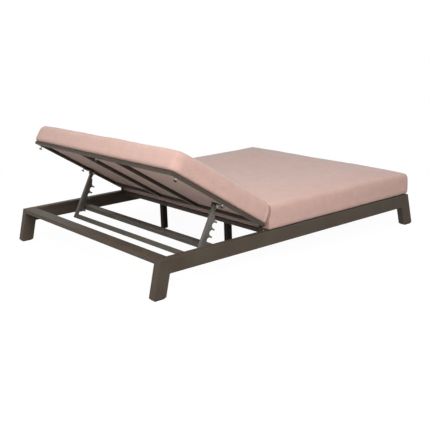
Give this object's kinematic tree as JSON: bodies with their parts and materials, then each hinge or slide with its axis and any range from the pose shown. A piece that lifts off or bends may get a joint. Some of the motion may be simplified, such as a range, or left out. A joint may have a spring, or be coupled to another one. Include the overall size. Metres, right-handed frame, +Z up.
{
  "type": "double chaise lounger",
  "caption": "Low double outdoor chaise with a splayed-leg aluminium frame, thick cushions and a full-width backrest held up by a swinging prop with toothed hook racks.",
  "frame": {"origin": "centre of the footprint on the floor", "axes": "+Z up, +Y towards the foot end, +X towards the right side of someone lying on it"},
  "size_m": [1.55, 2.0956, 0.7175],
  "materials": {
    "frame_coat": "bronze-taupe powder coat, fine satin",
    "prop_coat": "grey-taupe powder coat, satin",
    "outdoor_fabric": "dusty pink woven outdoor cloth, matte",
    "black_rubber": "moulded rubber, matte",
    "steel": "stainless steel, satin"
  },
  "bodies": {
    "base": {"side_rail_left": "frame_coat", "side_rail_right": "frame_coat", "corner_leg_head_left": "frame_coat", "corner_leg_head_right": "frame_coat", "corner_leg_foot_left": "frame_coat", "corner_leg_foot_right": "frame_coat", "corner_glide_head_left": "black_rubber", "corner_glide_head_right": "black_rubber", "corner_glide_foot_left": "black_rubber", "corner_glide_foot_right": "black_rubber", "head_beam": "frame_coat", "foot_beam": "frame_coat", "hinge_beam": "frame_coat", "mid_leg_left": "frame_coat", "mid_leg_right": "frame_coat", "mid_glide_left": "black_rubber", "mid_glide_right": "black_rubber", "catch_bar": "frame_coat", "seat_bar_left": "frame_coat", "seat_bar_right": "frame_coat", "seat_cross_beam": "frame_coat", "hinge_bracket_left": "frame_coat", "hinge_bracket_right": "frame_coat", "hinge_pin_left": "frame_coat", "hinge_pin_right": "frame_coat", "hinge_nut_left": "steel", "hinge_nut_right": "steel", "seat_cushion": "outdoor_fabric"},
    "backrest": {"back_rail_left": "frame_coat", "back_rail_right": "frame_coat", "back_head_rail": "frame_coat", "back_hinge_rail": "frame_coat", "back_bar_left": "frame_coat", "back_bar_right": "frame_coat", "prop_bracket_left": "frame_coat", "prop_bracket_right": "frame_coat", "pivot_bolt_left": "steel", "pivot_bolt_right": "steel", "pivot_nut_left": "steel", "pivot_nut_right": "steel", "pivot_washers_left": "steel", "pivot_washers_right": "steel", "bumper_head_left": "black_rubber", "bumper_head_right": "black_rubber", "bumper_mid_left": "black_rubber", "bumper_mid_right": "black_rubber", "bumper_head_centre": "black_rubber", "back_cushion": "outdoor_fabric"},
    "prop": {"prop_leg_left": "prop_coat", "prop_leg_right": "prop_coat", "prop_bar": "prop_coat", "hook_rack_left": "prop_coat", "hook_rack_right": "prop_coat"}
  },
  "joints": [
    {"name": "backrest_hinge", "type": "hinge", "parent": "base", "child": "backrest", "pos_m": [0, -0.268, 0.242], "axis": [-1, 0, 0], "range_deg": [-32.6, 0]},
    {"name": "prop_pivot", "type": "hinge", "parent": "backrest", "child": "prop", "pos_m": [0, -0.54071, 0.3891], "axis": [-1, 0, 0], "range_deg": [0, 91.3]}
  ],
  "couplings": [
    {"joint": "prop_pivot", "follows": "backrest_hinge", "ratio": -2.8}
  ]
}
